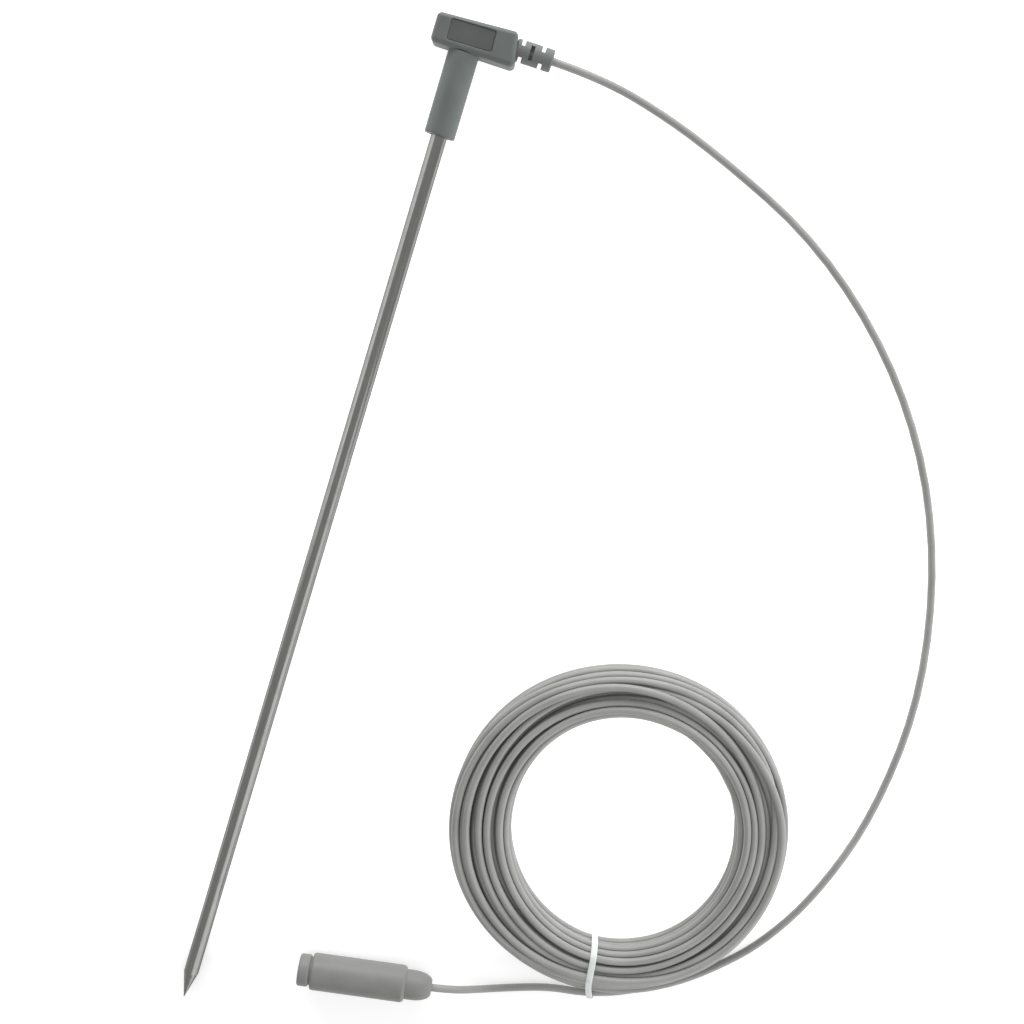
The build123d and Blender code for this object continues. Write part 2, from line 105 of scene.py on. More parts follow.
# The coil: its outline and hole are ovals, close to those of its CAD solid.
COIL_OUTER = (58.0 * MM, 58.2 * MM)
COIL_OUTER_SHIFT = (-0.4 * MM, -0.4 * MM)
COIL_HOLE = (41.3 * MM, 37.8 * MM)
COIL_HOLE_SHIFT = (1.6 * MM, 0.4 * MM)
COIL_LONG_AXIS = math.radians(-61.0)
COIL_FIRST_ANGLE = math.radians(-52.0)
COIL_LAST_ANGLE = math.radians(-82.0)
COIL_POINTS_PER_TURN = 24
COIL_COLUMNS = 7
SWING_POINTS = 4              # control points over which the lead and the tail leave the coil
COIL_SEED = 7
COIL_JITTER = 0.02 * MM
TIE_ANGLE = math.radians(-84.0)
LEAD_SWING = 3.3 * MM         # how far outside the coil's outline the lead joins it
TAIL_SWING = 4.5 * MM         # and how far outside it the last strand leaves it

# (column, row) of each turn in the order it was wound, read back from the handle's end:
# up the outer side, loosely over the top, then down and up through the columns.
COIL_SLOTS = (
    [(0, 1), (0, 2), (0, 3)]
    + [(2, 4), (1, 4), (4, 4), (5, 4), (6, 3)]
    + [(6, 2), (5, 3), (5, 2), (6, 1), (5, 1), (6, 0), (5, 0)]
    + [(4, row) for row in (0, 1, 2, 3)]
    + [(3, row) for row in (2, 1, 0)]
    + [(2, row) for row in (0, 1, 2, 3)]
    + [(1, row) for row in (3, 2, 1, 0)]
    + [(0, 0)]
)
TOP_ROW = 2.5                 # rows above this are the loose top ones
ROW_HEIGHT = 0.87 * CORD_DIAMETER
GAP_ANGLE = math.radians(95.0)
GAP_REACH = math.radians(95.0)
GAP_WIDTH = 1.5 * MM
GAP_COLUMN = 3                # the gap opens between the columns before and after this one
GAP_NEIGHBOURS = 1.5          # turns this many columns from the gap or nearer lie beside it
GAP_CLOSING = 0.35            # how far the turns beside the gap close it elsewhere, in pitches
LOW_GAP_ANGLE = math.radians(-118.0)
LOW_GAP_REACH = math.radians(55.0)
LOW_GAP_WIDTH = 1.0 * MM
LOW_GAP_COLUMN = 1.5
LOW_GAP_SHARE = 0.6           # how far the inner turns give way at it, against the outer ones
CROSS_START = (0.48, 0.68)    # where in its turn a strand starts to cross to the next column
CROSS_SPAN = (0.24, 0.32)     # and how much of the turn it takes
WANDER = 1.2 * MM
WANDER_REACH = math.radians(60)    # the top turns don't wander this near the tie
FIRST_HEIGHT = 2.9 * MM       # the lead's height where the first turn starts
LAST_HEIGHT = CORD_REST + 1.0 * MM  # and where the last one ends
STRAP_LIFT = 0.8 * MM         # how far the strap under the turns lifts them
HEAD_LIFT = 2.0 * MM          # and how far the tie's head lifts the turns above it
LIFT_REACH = math.radians(22)
SQUEEZE_REACH = math.radians(50)
SQUEEZE_HEIGHT = 3.5 * MM     # above this the tie draws the turns in from the outside
SQUEEZE_RATE = 0.45
SHOULDER_HEIGHT = 7 * MM      # above this the coil's inner and outer sides slope in
SHOULDER_RATE = 0.5
RELAX_STEPS = 260
CALM_SHARE = 0.85             # after this share of the steps the targets no longer pull
TARGET_PULL = 0.08
SETTLING = 0.012 * MM         # how far every step lets the turns sink
SMOOTHING = (0.3, 0.15)       # before and during the calm steps
SPACING = 1.01                # how far apart the turns are pushed, in diameters
CLOSEST = 0.01 * MM           # distances below this count as this
PUSH = 0.42


def coil_reach(half_axes, shift, angle):
    """Distance from the coil's centre to one of its ovals, in one direction."""
    turn = angle - COIL_LONG_AXIS
    radius = 1.0 / math.hypot(math.cos(turn) / half_axes[0], math.sin(turn) / half_axes[1])
    return radius + shift[0] * math.cos(angle) + shift[1] * math.sin(angle)


def coil_width(angle):
    """Distance between the coil's two ovals in one direction."""
    outer = coil_reach(COIL_OUTER, COIL_OUTER_SHIFT, angle)
    return outer - coil_reach(COIL_HOLE, COIL_HOLE_SHIFT, angle)


def bump(angle, centre, reach):
    """1 at centre, falling smoothly to 0 at reach to each side, all angles in radians."""
    away = abs(math.remainder(angle - centre, math.tau))
    return 0.5 + 0.5 * math.cos(math.pi * away / reach) if away < reach else 0.0


def smooth_step(share):
    """0 up to 0, 1 from 1 on, and an even S between them."""
    share = min(1.0, max(0.0, share))
    return share * share * (3 - 2 * share)


def coil_swing(index, count):
    """How far a point may lie outside the coil's outline, where the lead joins and leaves."""
    joins = smooth_step(1 - index / SWING_POINTS)
    leaves = smooth_step((index - (count - 1 - SWING_POINTS)) / (SWING_POINTS - 1))
    return LEAD_SWING * joins + TAIL_SWING * leaves


def coil_targets():
    """Where each turn would lie: (distance from the hole, height) at each of its points."""
    rng = np.random.default_rng(COIL_SEED)
    step = math.tau / COIL_POINTS_PER_TURN
    last_slot = len(COIL_SLOTS) - 1
    extra = round((COIL_FIRST_ANGLE - COIL_LAST_ANGLE) / step)
    count = len(COIL_SLOTS) * COIL_POINTS_PER_TURN + extra + 1
    phases = rng.uniform(0, math.tau, len(COIL_SLOTS) + 1)
    starts = rng.uniform(*CROSS_START, len(COIL_SLOTS))
    spans = rng.uniform(*CROSS_SPAN, len(COIL_SLOTS))
    places = []
    for index in range(count):
        angle = COIL_FIRST_ANGLE - index * step
        turn = min(index // COIL_POINTS_PER_TURN, last_slot)
        after = min(turn + 1, last_slot)
        share = index / COIL_POINTS_PER_TURN - turn
        ease = smooth_step((share - starts[turn]) / spans[turn])
        column = COIL_SLOTS[turn][0] * (1 - ease) + COIL_SLOTS[after][0] * ease
        row = COIL_SLOTS[turn][1] * (1 - ease) + COIL_SLOTS[after][1] * ease
        pitch = (coil_width(angle) - CORD_DIAMETER) / (COIL_COLUMNS - 1)
        across = (COIL_COLUMNS - 1 - column) * pitch + CORD_RADIUS
        height = CORD_REST + row * ROW_HEIGHT
        if row > TOP_ROW - 1:
            free = 1.0 - bump(angle, TIE_ANGLE, WANDER_REACH)
            phase = phases[turn] * (1 - ease) + phases[after] * ease
            across += free * WANDER * math.sin(angle + phase)
            side = 1.0 if column < GAP_COLUMN else -1.0
            open_share = bump(angle, GAP_ANGLE, GAP_REACH)
            across += side * GAP_WIDTH * open_share
            if row > TOP_ROW and abs(column - GAP_COLUMN) < GAP_NEIGHBOURS:
                across -= side * GAP_CLOSING * pitch * (1 - open_share)
            side = 1.0 if column < LOW_GAP_COLUMN else -LOW_GAP_SHARE
            across += side * LOW_GAP_WIDTH * bump(angle, LOW_GAP_ANGLE, LOW_GAP_REACH)
        places.append((across + coil_swing(index, count), height))
    return np.array(places) + rng.normal(0, COIL_JITTER, (len(places), 2))


def over_head(share):
    """1 over the tie's head, in the middle of the coil's width, and 0 at the coil's sides."""
    return np.clip(1.6 - 4 * np.abs(share - 0.5), 0, 1)


def relax(places, first_place, last_place):
    """Pushes the turns apart until they lie on and beside each other, and lets them settle."""
    step = math.tau / COIL_POINTS_PER_TURN
    angles = COIL_FIRST_ANGLE - step * np.arange(len(places))
    widths = np.array([coil_width(angle) for angle in angles])
    tied = np.array([bump(angle, TIE_ANGLE, LIFT_REACH) for angle in angles])
    held = np.array([bump(angle, TIE_ANGLE, SQUEEZE_REACH) for angle in angles])
    swing = np.array([coil_swing(index, len(places)) for index in range(len(places))])
    targets = places.copy()
    gap = CORD_DIAMETER * SPACING
    for round_number in range(RELAX_STEPS):
        calm = round_number > RELAX_STEPS * CALM_SHARE
        places += (targets - places) * (0.0 if calm else TARGET_PULL)
        places[:, 1] -= SETTLING
        middle = (places[:-2] + places[2:]) / 2
        places[1:-1] += (middle - places[1:-1]) * SMOOTHING[calm]
        for station in range(COIL_POINTS_PER_TURN):
            here = places[station::COIL_POINTS_PER_TURN]
            apart = here[:, None, :] - here[None, :, :]
            distance = np.maximum(np.linalg.norm(apart, axis=2), CLOSEST)
            np.fill_diagonal(distance, 1.0)
            push = np.clip(gap - distance, 0, None) / distance
            here += PUSH * (apart * push[:, :, None]).sum(axis=1)
        lift = STRAP_LIFT + HEAD_LIFT * over_head(places[:, 0] / widths)
        floor = CORD_REST + lift * tied
        places[:, 1] = np.maximum(places[:, 1], floor)
        low = CORD_RADIUS + np.clip(places[:, 1] - SHOULDER_HEIGHT, 0, None) * SHOULDER_RATE
        squeeze = np.clip(places[:, 1] - SQUEEZE_HEIGHT, 0, None) * SQUEEZE_RATE * held
        places[:, 0] = np.clip(places[:, 0], low, widths - low - squeeze + swing)
        places[0] = first_place
        places[-1] = last_place
    return places, angles


def coil_points():
    """The turns as points of the lead's own line, from the lead's side to the tail's."""
    low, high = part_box("cord_coil")
    centre = ((low[0] + high[0]) / 2, (low[1] + high[1]) / 2)
    first = (coil_width(COIL_FIRST_ANGLE) - CORD_RADIUS + LEAD_SWING, FIRST_HEIGHT)
    last = (coil_width(COIL_LAST_ANGLE) - CORD_RADIUS + TAIL_SWING, LAST_HEIGHT)
    places, angles = relax(coil_targets(), first, last)
    points = []
    for (across, height), angle in zip(places, angles):
        reach = coil_reach(COIL_HOLE, COIL_HOLE_SHIFT, angle) + across
        x = centre[0] + reach * math.cos(angle)
        y = centre[1] + reach * math.sin(angle)
        points.append((x, y, height))
    return points


def end_of(node, side):
    """The middle of a node's face at its lowest (0) or highest (1) X."""
    low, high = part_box(node)
    return ((low, high)[side][0], (low[1] + high[1]) / 2, (low[2] + high[2]) / 2)


SOCKET_MOUTH = (32.4 * MM, -144.6 * MM, 6.1 * MM)
SOCKET_HEADING = math.radians(9.0)
SOCKET_AHEAD = Vector((math.cos(SOCKET_HEADING), math.sin(SOCKET_HEADING), 0.0))
SOCKET_LENGTH = 45.8 * MM
SOCKET_OVERLAP = 1 * MM       # how far the lead's line runs on inside the boot
EXIT_RUN = 10 * MM            # straight out of the strain relief
SOCKET_RUN = 7 * MM           # and straight out of the socket


def socket_axis_point(along):
    """A point of the socket's axis, measured from its mouth."""
    return Vector(SOCKET_MOUTH) + along * SOCKET_AHEAD


cord_exit = end_of("strain_relief", 1)
cord_end = socket_axis_point(SOCKET_LENGTH - SOCKET_OVERLAP)


def cord_line():
    """All control points of the lead, from the handle to the in-line socket."""
    exit_run = [cord_exit, (cord_exit[0] + EXIT_RUN, cord_exit[1], cord_exit[2])]
    lead = [tuple(value * MM for value in point) for point in LEAD_ROUTE_MM]
    tail = [tuple(value * MM for value in point) for point in TAIL_ROUTE_MM]
    end_run = [tuple(socket_axis_point(SOCKET_LENGTH + SOCKET_RUN)), tuple(cord_end)]
    return exit_run + lead + coil_points() + tail + end_run


def make_cord():
    """The whole lead as one smooth line of its own thickness."""
    points = cord_line()
    data = bpy.data.curves.new("lead", "CURVE")
    data.dimensions = "3D"
    spline = data.splines.new("NURBS")
    spline.points.add(len(points) - 1)
    for place, point in zip(spline.points, points):
        place.co = (*point, 1.0)
        place.radius = CORD_RADIUS
    spline.order_u = 3
    spline.use_endpoint_u = True
    spline.resolution_u = 5
    data.bevel_depth = 1.0
    data.bevel_resolution = 4
    data.use_fill_caps = True
    lead = bpy.data.objects.new("lead", data)
    bpy.context.scene.collection.objects.link(lead)
    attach(lead, "root")
    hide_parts("cord_lead", "cord_coil", "cord_tail")
    return lead


def line_points(obj):
    """Points along a curve's own line, read without its thickness."""
    depth = obj.data.bevel_depth
    obj.data.bevel_depth = 0.0
    mesh = bpy.data.meshes.new_from_object(obj)
    obj.data.bevel_depth = depth
    places = [vertex.co.copy() for vertex in mesh.vertices]
    bpy.data.meshes.remove(mesh)
    return places


lead = make_cord()
places = line_points(lead)


# ---- Tie: a strap drawn tight round the turns, with its head under the coil ----
STRAP_WIDTH = 2.2 * MM
STRAP_THICKNESS = 0.55 * MM
STRAP_TOP_SIDE = (0.0, 0.6 * MM)        # sideways place of its top run, inner and outer end
STRAP_FLOOR_SIDE = (0.8 * MM, 4.6 * MM)  # and of its run under the coil
TIE_HEAD_SIZE = (4.4 * MM, 4.2 * MM, 2.2 * MM)
TIE_HEAD_EDGE = 0.45 * MM
TIE_STUB = 1.4 * MM           # how far the strap's cut end stands out of the head
TIE_STUB_EDGE = 0.2 * MM
TIE_STUB_HEIGHT = 1.2 * MM
STRAP_SLACK = 0.03 * MM
STRAP_FLOOR_ROOM = 0.02 * MM
STRAP_HULL_STEPS = 720
STRAP_STEPS = 96
SECTION_STEPS = 16
SECTION_EXPONENT = 0.6        # 1 gives an oval section, less a squarer one


def tie_frame():
    """Middle of the coil, and the tie's directions: out along the radius, and sideways."""
    low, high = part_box("cord_coil")
    centre = Vector(((low.x + high.x) / 2, (low.y + high.y) / 2, 0.0))
    outward = Vector((math.cos(TIE_ANGLE), math.sin(TIE_ANGLE), 0.0))
    return centre, outward, Vector((-outward.y, outward.x, 0.0))


def strands_at_tie():
    """(reach, height) of each strand where the lead's line crosses the tie's plane."""
    centre, outward, sideways = tie_frame()
    found = []
    for before, after in zip(places, places[1:]):
        side = ((before - centre).dot(sideways), (after - centre).dot(sideways))
        if side[0] * side[1] <= 0 and side[0] != side[1]:
            middle = before.lerp(after, side[0] / (side[0] - side[1]))
            reach = (middle - centre).dot(outward)
            if reach > 0:
                found.append((reach, middle.z))
    return found


def strap_loop(strands):
    """Closed outline drawn tight round the strands, even in its spacing."""
    grip = CORD_RADIUS + STRAP_THICKNESS / 2 + STRAP_SLACK
    hull = []
    for index in range(STRAP_HULL_STEPS):
        turn = math.tau * index / STRAP_HULL_STEPS
        ahead = (math.cos(turn), math.sin(turn))
        reach, height = max(strands, key=lambda place: place[0] * ahead[0] + place[1] * ahead[1])
        hull.append((reach + grip * ahead[0], height + grip * ahead[1]))
    hull = np.array(hull + hull[:1])
    runs = np.concatenate([[0], np.cumsum(np.linalg.norm(np.diff(hull, axis=0), axis=1))])
    even = np.linspace(0, runs[-1], STRAP_STEPS, endpoint=False)
    loop = np.stack([np.interp(even, runs, hull[:, 0]), np.interp(even, runs, hull[:, 1])], axis=1)
    for _ in range(2):
        loop = (np.roll(loop, 1, axis=0) + 2 * loop + np.roll(loop, -1, axis=0)) / 4
    loop[:, 1] = np.maximum(loop[:, 1], STRAP_THICKNESS / 2 + STRAP_FLOOR_ROOM)
    return loop


def strap_section():
    """The strap's section: a flat bar with rounded edges, as (sideways, outward)."""
    half = (STRAP_WIDTH / 2, STRAP_THICKNESS / 2)
    points = []
    for index in range(SECTION_STEPS):
        turn = math.tau * (index + 0.5) / SECTION_STEPS
        parts = (math.cos(turn), math.sin(turn))
        points.append(tuple(size * math.copysign(abs(part) ** SECTION_EXPONENT, part)
                            for size, part in zip(half, parts)))
    return points


def smooth_mesh_object(name, verts, faces):
    """A smooth-shaded object from vertices and faces."""
    mesh = bpy.data.meshes.new(name)
    mesh.from_pydata(verts, [], faces)
    mesh.shade_smooth()
    obj = bpy.data.objects.new(name, mesh)
    bpy.context.scene.collection.objects.link(obj)
    return obj


def strap_side(loop, place):
    """How far sideways the strap runs at a point of its loop: it leans along the outer side."""
    low, high = loop.min(axis=0), loop.max(axis=0)
    out, up = (place - low) / (high - low)
    top = STRAP_TOP_SIDE[0] + (STRAP_TOP_SIDE[1] - STRAP_TOP_SIDE[0]) * out
    floor = STRAP_FLOOR_SIDE[0] + (STRAP_FLOOR_SIDE[1] - STRAP_FLOOR_SIDE[0]) * out
    return floor + (top - floor) * up


def make_strap(loop):
    """Strap swept along the loop."""
    centre, outward, sideways = tie_frame()
    verts = []
    for before, here, after in zip(np.roll(loop, 1, axis=0), loop, np.roll(loop, -1, axis=0)):
        ahead = (after - before) / np.linalg.norm(after - before)
        normal = outward * ahead[1] + Vector((0, 0, -ahead[0]))
        spot = centre + outward * here[0] + Vector((0, 0, here[1]))
        spot += sideways * strap_side(loop, here)
        verts += [spot + sideways * a + normal * b for a, b in strap_section()]
    faces = []
    for ring in range(STRAP_STEPS):
        following = (ring + 1) % STRAP_STEPS
        for index in range(SECTION_STEPS):
            beside = (index + 1) % SECTION_STEPS
            faces.append((ring * SECTION_STEPS + index, ring * SECTION_STEPS + beside,
                          following * SECTION_STEPS + beside, following * SECTION_STEPS + index))
    strap = smooth_mesh_object("strap", verts, faces)
    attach(strap, "root")
    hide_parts("tie_strap")
    return strap


def add_rounded_block(mesh, size, edge, place):
    """Add a block with rounded edges to a bmesh; place is the matrix that sets it down."""
    corners = bmesh.ops.create_cube(mesh, size=1.0)["verts"]
    bmesh.ops.scale(mesh, vec=size, verts=corners)
    edges = list({line for corner in corners for line in corner.link_edges})
    rounded = bmesh.ops.bevel(mesh, geom=edges, offset=edge, segments=3, affect="EDGES",
                              profile=0.5)
    verts = list({corner for face in rounded["faces"] for corner in face.verts})
    bmesh.ops.transform(mesh, matrix=place, verts=verts)


def make_tie_head(loop):
    """The tie's locking head under the coil, with the strap's cut end beyond it."""
    centre, outward, sideways = tie_frame()
    length, _, height = TIE_HEAD_SIZE
    low, high = loop.min(axis=0), loop.max(axis=0)
    reach = (low[0] + high[0]) / 2
    side = strap_side(loop, np.array((reach, low[1])))
    turn = Matrix((outward, sideways, Vector((0, 0, 1)))).transposed().to_4x4()
    spot = centre + outward * reach + sideways * side
    mesh = bmesh.new()
    head_place = Matrix.Translation(spot + Vector((0, 0, height / 2))) @ turn
    add_rounded_block(mesh, TIE_HEAD_SIZE, TIE_HEAD_EDGE, head_place)
    stub_size = (2 * TIE_STUB, STRAP_WIDTH, STRAP_THICKNESS)
    stub_rise = Vector((0, 0, TIE_STUB_HEIGHT + STRAP_THICKNESS / 2))
    stub_spot = spot + outward * (length / 2) + stub_rise
    add_rounded_block(mesh, stub_size, TIE_STUB_EDGE, Matrix.Translation(stub_spot) @ turn)
    data = bpy.data.meshes.new("tie_block")
    mesh.to_mesh(data)
    mesh.free()
    head = bpy.data.objects.new("tie_block", data)
    bpy.context.scene.collection.objects.link(head)
    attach(head, "root")
    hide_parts("tie_head")
    return head


strap_line = strap_loop(strands_at_tie())
strap = make_strap(strap_line)
tie_head = make_tie_head(strap_line)

# ---- Materials: all procedural, in object space, metres ----
SHADE_OPENNESS_SPAN = (0.1, 0.6)        # openness of a spot from which, and up to which, the painted corner shade fades
PLASTIC_SHADE_REACH = 2.5 * MM
CORD_SHADE_REACH = 3 * MM
EDGE_WEAR_AND_HIGHLIGHT_REACH = 0.7 * MM
WORN_AND_LIT_SHADE = 1.9              # how much paler the edges are: part wear, part painted highlight
CLOUD_SHADES = 0.07           # how much plastic varies in colour
GRAIN_DEPTH = 0.02 * MM
STREAK_WIDTH = 0.12 * MM


def new_material(name):
    """A node material; returns it with its tree and its shader."""
    material = bpy.data.materials.new(name)
    material.use_nodes = True
    tree = material.node_tree
    return material, tree, tree.nodes["Principled BSDF"]


def noise(tree, size, detail=3.0, stretch=(1.0, 1.0, 1.0)):
    """Noise with features of about this size in metres, drawn out along an axis by stretch."""
    place = tree.nodes.new("ShaderNodeTexCoord")
    mapping = tree.nodes.new("ShaderNodeMapping")
    mapping.inputs["Scale"].default_value = [1.0 / (size * pull) for pull in stretch]
    texture = tree.nodes.new("ShaderNodeTexNoise")
    texture.inputs["Scale"].default_value = 1.0
    texture.inputs["Detail"].default_value = detail
    tree.links.new(place.outputs["Object"], mapping.inputs["Vector"])
    tree.links.new(mapping.outputs["Vector"], texture.inputs["Vector"])
    return texture.outputs["Fac"]


def remap(tree, value, to_low, to_high, from_low=0.3, from_high=0.7):
    """Spread a value's usual range over another one."""
    node = tree.nodes.new("ShaderNodeMapRange")
    node.inputs["From Min"].default_value = from_low
    node.inputs["From Max"].default_value = from_high
    node.inputs["To Min"].default_value = to_low
    node.inputs["To Max"].default_value = to_high
    tree.links.new(value, node.inputs["Value"])
    return node.outputs["Result"]


def mix_colours(tree, factor, first, second):
    """Blend of two colours; each is a colour or another node's output."""
    node = tree.nodes.new("ShaderNodeMix")
    node.data_type = "RGBA"
    tree.links.new(factor, node.inputs["Factor"])
    for socket, colour in ((node.inputs[6], first), (node.inputs[7], second)):
        if isinstance(colour, tuple):
            socket.default_value = (*colour, 1.0)
        else:
            tree.links.new(colour, socket)
    return node.outputs[2]


def add_bump(tree, shader, layers):
    """Chain of bumps; each layer is (height, strength, depth in metres)."""
    normal = None
    for height, strength, depth in layers:
        node = tree.nodes.new("ShaderNodeBump")
        node.inputs["Strength"].default_value = strength
        node.inputs["Distance"].default_value = depth
        tree.links.new(height, node.inputs["Height"])
        if normal is not None:
            tree.links.new(normal, node.inputs["Normal"])
        normal = node.outputs["Normal"]
    tree.links.new(normal, shader.inputs["Normal"])


def edge_wear_and_highlight(tree, reach):
    """Mask for paler edges, part wear and part painted highlight: 1 on outer edges, 0 on flat
    stretches: how near the other side of an edge is.
    """
    near = tree.nodes.new("ShaderNodeAmbientOcclusion")
    near.inside = True
    near.only_local = True
    near.samples = 6
    near.inputs["Distance"].default_value = reach
    return remap(tree, near.outputs["AO"], 1.0, 0.0, 0.25, 0.75)


def shade(colour, amount):
    """A colour made lighter or darker."""
    return tuple(min(1.0, channel * amount) for channel in colour)


def corner_painted_shade(tree, colour, unshaded, reach, local=False):
    """Painted shade: the unshaded colour in the open, a darker one painted deep in gaps and
    corners, where shade falls.
    """
    near = tree.nodes.new("ShaderNodeAmbientOcclusion")
    near.only_local = local
    near.samples = 6
    near.inputs["Distance"].default_value = reach
    return mix_colours(tree, remap(tree, near.outputs["AO"], 0.0, 1.0, *SHADE_OPENNESS_SPAN), colour, unshaded)


def plastic(name, colour, roughness, grain, wear_and_highlight=0.0, corner_shade=0.5):
    """Moulded plastic: fine grain, faint clouds in colour and gloss, paler edges that are part wear
    and part painted highlight, and painted shade in gaps and corners.
    """
    material, tree, shader = new_material(name)
    clouds = noise(tree, 9 * MM, 4.0)
    specks = noise(tree, grain, 2.0)
    base = mix_colours(tree, remap(tree, clouds, 0.0, 1.0),
                       shade(colour, 1 - CLOUD_SHADES), shade(colour, 1 + CLOUD_SHADES))
    base = mix_colours(tree, remap(tree, specks, 0.0, 0.35, 0.62, 0.75), base,
                       shade(colour, 0.8))
    # paler edges: part wear, part painted highlight on rounded edges
    if wear_and_highlight:
        worn_and_lit = tree.nodes.new("ShaderNodeMath")
        worn_and_lit.operation = "MULTIPLY"
        tree.links.new(edge_wear_and_highlight(tree, EDGE_WEAR_AND_HIGHLIGHT_REACH), worn_and_lit.inputs[0])
        tree.links.new(remap(tree, noise(tree, 2.5 * MM), 0.25 * wear_and_highlight, wear_and_highlight), worn_and_lit.inputs[1])
        base = mix_colours(tree, worn_and_lit.outputs[0], base, shade(colour, WORN_AND_LIT_SHADE))
    # painted shade: darker deep in gaps and corners, where shade falls
    base = corner_painted_shade(tree, shade(colour, corner_shade), base, PLASTIC_SHADE_REACH)
    tree.links.new(base, shader.inputs["Base Color"])
    tree.links.new(remap(tree, clouds, roughness - 0.05, roughness + 0.08),
                   shader.inputs["Roughness"])
    add_bump(tree, shader, [(specks, 0.35, GRAIN_DEPTH)])
    return material


def drawn_metal(name, colour, roughness, along=0, tint=None):
    """Metal with draw lines along one axis and a few dull patches."""
    material, tree, shader = new_material(name)
    stretch = [1.0, 1.0, 1.0]
    stretch[along] = 160.0
    lines = noise(tree, STREAK_WIDTH, 3.0, stretch)
    patches = noise(tree, 5 * MM, 4.0)
    base = mix_colours(tree, remap(tree, lines, 0.0, 1.0), shade(colour, 0.86), shade(colour, 1.12))
    base = mix_colours(tree, remap(tree, patches, 0.0, 0.5, 0.5, 0.75), base, shade(colour, 0.82))
    tree.links.new(base, shader.inputs["Base Color"])
    tree.links.new(remap(tree, patches, roughness - 0.03, roughness + 0.07),
                   shader.inputs["Roughness"])
    shader.inputs["Metallic"].default_value = 1.0
    if tint:
        shader.inputs["Specular Tint"].default_value = (*tint, 1.0)
    add_bump(tree, shader, [(lines, 0.25, 0.004 * MM), (patches, 0.1, 0.01 * MM)])
    return material


def steel():
    """Polished tube with draw lines along its length."""
    return drawn_metal("steel", (0.27, 0.27, 0.262), 0.2, along=1, tint=(0.35, 0.35, 0.35))


def cord_jacket(local=False):
    """PVC jacket: satin, with faint clouds along it, fine handling marks, and painted shade between
    the turns and in crevices.
    """
    material, tree, shader = new_material("cord_jacket")
    colour = (0.27, 0.272, 0.262)
    clouds = noise(tree, 14 * MM, 4.0)
    marks = noise(tree, 0.35 * MM, 3.0)
    base = mix_colours(tree, remap(tree, clouds, 0.0, 1.0), shade(colour, 0.9), shade(colour, 1.1))
    base = mix_colours(tree, remap(tree, marks, 0.0, 0.3, 0.58, 0.75), base, shade(colour, 0.75))
    # painted shade: darker between the turns and in crevices, where shade falls
    base = corner_painted_shade(tree, shade(colour, 0.4), base, CORD_SHADE_REACH, local)
    tree.links.new(base, shader.inputs["Base Color"])
    tree.links.new(remap(tree, clouds, 0.36, 0.5), shader.inputs["Roughness"])
    add_bump(tree, shader, [(marks, 0.3, 0.015 * MM), (clouds, 0.3, 0.1 * MM)])
    return material


def tie_plastic():
    """Milky nylon that lets a little light in."""
    material = plastic("tie_plastic", (0.57, 0.6, 0.585), 0.42, 0.25 * MM, wear_and_highlight=0.1, corner_shade=0.8)
    shader = material.node_tree.nodes["Principled BSDF"]
    shader.inputs["Subsurface Weight"].default_value = 0.25
    shader.inputs["Subsurface Radius"].default_value = (1.0, 1.0, 1.0)
    shader.inputs["Subsurface Scale"].default_value = 0.6 * MM
    return material


SLOT_MATERIALS = {
    "steel": steel,
    "head_plastic": lambda: plastic(
        "head_plastic", (0.108, 0.122, 0.118), 0.55, 0.22 * MM, wear_and_highlight=0.5),
    "label_plastic": lambda: plastic(
        "label_plastic", (0.07, 0.076, 0.074), 0.55, 0.15 * MM, wear_and_highlight=0.1),
    "grip_plastic": lambda: plastic(
        "grip_plastic", (0.127, 0.14, 0.135), 0.56, 0.2 * MM, wear_and_highlight=0.35),
    "cord_jacket": cord_jacket,
    "socket_plastic": lambda: plastic(
        "socket_plastic", (0.185, 0.185, 0.178), 0.48, 0.2 * MM, wear_and_highlight=0.15),
    "tie_plastic": tie_plastic,
    "seal_rubber": lambda: plastic("seal_rubber", (0.02, 0.02, 0.021), 0.6, 0.12 * MM),
    "brass": lambda: drawn_metal("brass", (0.6, 0.44, 0.18), 0.28),
    "contact_metal": lambda: drawn_metal("contact_metal", (0.62, 0.61, 0.58), 0.2),
    "copper": lambda: drawn_metal("copper", (0.72, 0.4, 0.26), 0.3),
    "wire_insulation": lambda: plastic("wire_insulation", (0.5, 0.05, 0.04), 0.4, 0.1 * MM),
    "board": lambda: plastic("board", (0.02, 0.13, 0.05), 0.35, 0.1 * MM),
    "component": lambda: plastic("component", (0.02, 0.02, 0.022), 0.5, 0.1 * MM),
    "solder": lambda: drawn_metal("solder", (0.55, 0.55, 0.54), 0.35),
    "resin": lambda: plastic("resin", (0.03, 0.03, 0.035), 0.2, 0.2 * MM),
    "insulator": lambda: plastic("insulator", (0.7, 0.68, 0.62), 0.45, 0.15 * MM),
}


def finish_pieces():
    """Give every CAD node and every piece the material of its slot."""
    finishes = {slot: make() for slot, make in SLOT_MATERIALS.items()}
    for row in frame["record"]["subparts"]:
        obj = frame["nodes"][row["node"]]
        obj.data.materials.clear()
        obj.data.materials.append(finishes[row["material_slot"]])
    lead.data.materials.append(cord_jacket(True))
    strap.data.materials.append(finishes["tie_plastic"])
    tie_head.data.materials.append(finishes["tie_plastic"])


finish_pieces()


# ---- Floor and lights ----
FLOOR_REACH = 3.0
FLOOR_WHITES = ((0.93, 0.93, 0.93), (0.95, 0.95, 0.95))
FLOOR_CLOUDS = 0.3                  # size of the faint clouds in its white
FLOOR_GLOW = (0.17, 0.52)           # painted light: the floor glows more beyond the coil's near side, which hides its shadows there
FLOOR_GLOW_SPAN = (-0.147, -0.128)  # it changes between these places, measured up the picture
SKY_STRENGTH = 0.56
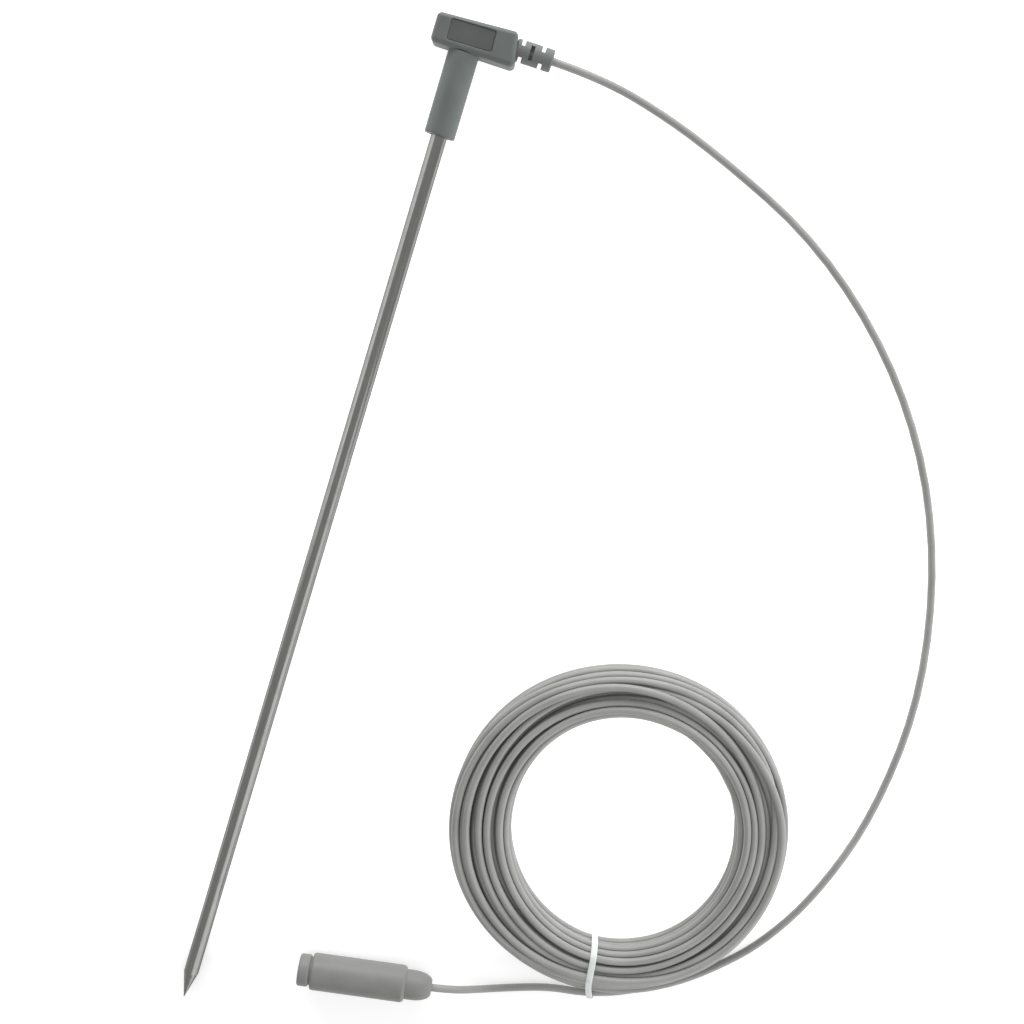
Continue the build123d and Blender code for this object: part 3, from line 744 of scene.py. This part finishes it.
# Soft boxes. The first two stand this far right, up the picture and above the view's middle.
FAR_OFFSET, FAR_SIZE, FAR_RADIANCE = (0.0, 1.0, 0.32), (1.4, 0.4), 5.5
RIGHT_OFFSET, RIGHT_SIZE, RIGHT_RADIANCE = (0.95, 0.25, 0.3), (1.2, 0.35), 5.5
# The other two are low, and shine along the rod from their place towards their aim.
SHEEN_PLACE, SHEEN_AIM = (0.5, -0.44, 0.3), (0.0, -0.13, 0.0)
SHEEN_SIZE, SHEEN_RADIANCE = (0.8, 0.75), 1.15
STRIP_PLACE, STRIP_AIM = (-0.5, 0.14, 0.18), (0.0, 0.12, 0.0)
STRIP_SIZE, STRIP_RADIANCE = (0.55, 0.35), 1.2


def make_floor():
    """White floor that also glows though it is no lamp: painted light, stronger beyond the coil's
    near side so it shows hardly any shadow there, weaker near the picture's bottom.
    """
    sides = [(-1, -1), (1, -1), (1, 1), (-1, 1)]
    corners = [(x * FLOOR_REACH, y * FLOOR_REACH, 0) for x, y in sides]
    mesh = bpy.data.meshes.new("floor")
    mesh.from_pydata(corners, [], [(0, 1, 2, 3)])
    floor = bpy.data.objects.new("floor", mesh)
    bpy.context.scene.collection.objects.link(floor)
    material, tree, shader = new_material("floor")
    shade_of_white = mix_colours(tree, noise(tree, FLOOR_CLOUDS, 2.0), *FLOOR_WHITES)
    tree.links.new(shade_of_white, shader.inputs["Base Color"])
    shader.inputs["Roughness"].default_value = 0.9
    shader.inputs["Specular IOR Level"].default_value = 0.0
    shader.inputs["Emission Color"].default_value = (1, 1, 1, 1)
    place = tree.nodes.new("ShaderNodeTexCoord")
    ahead = tree.nodes.new("ShaderNodeVectorMath")
    ahead.operation = "DOT_PRODUCT"
    ahead.inputs[1].default_value = picture_up
    tree.links.new(place.outputs["Object"], ahead.inputs[0])
    # painted light: the floor's own glow, weaker near the picture's bottom
    glow = remap(tree, ahead.outputs["Value"], *FLOOR_GLOW, *FLOOR_GLOW_SPAN)
    tree.links.new(glow, shader.inputs["Emission Strength"])
    mesh.materials.append(material)


def make_panel(name, place, aim, size, radiance):
    """A soft box: a flat light of this width and height, aimed at a point; returns it."""
    data = bpy.data.lights.new(name, "AREA")
    data.shape = "RECTANGLE"
    data.size, data.size_y = size
    data.energy = radiance * math.pi * size[0] * size[1]
    panel = bpy.data.objects.new(name, data)
    panel.location = place
    panel.rotation_euler = (Vector(aim) - Vector(place)).to_track_quat("-Z", "Y").to_euler()
    panel.visible_camera = False
    bpy.context.scene.collection.objects.link(panel)
    return panel


def beside_view(right, up, height):
    """A place measured from the view's middle, in the picture's directions."""
    return VIEW_CENTRE + right * picture_right + up * picture_up + Vector((0, 0, height))


def make_light():
    """White surroundings, two large soft boxes, and two low ones for the rod's sheen."""
    world = bpy.data.worlds.new("studio")
    bpy.context.scene.world = world
    world.use_nodes = True
    sky = world.node_tree.nodes["Background"]
    sky.inputs["Color"].default_value = (1, 1, 1, 1)
    sky.inputs["Strength"].default_value = SKY_STRENGTH
    make_panel("far_panel", beside_view(*FAR_OFFSET), VIEW_CENTRE, FAR_SIZE, FAR_RADIANCE)
    fill = make_panel("right_panel", beside_view(*RIGHT_OFFSET), VIEW_CENTRE, RIGHT_SIZE,
                      RIGHT_RADIANCE)
    fill.visible_glossy = False
    sheen = make_panel("low_right_panel", SHEEN_PLACE, SHEEN_AIM, SHEEN_SIZE, SHEEN_RADIANCE)
    strip = make_panel("left_panel", STRIP_PLACE, STRIP_AIM, STRIP_SIZE, STRIP_RADIANCE)
    strip.visible_diffuse = False
    for panel in (fill, sheen, strip):
        panel.data.use_shadow = False
    bpy.context.scene.view_settings.view_transform = "Standard"


make_floor()
make_light()
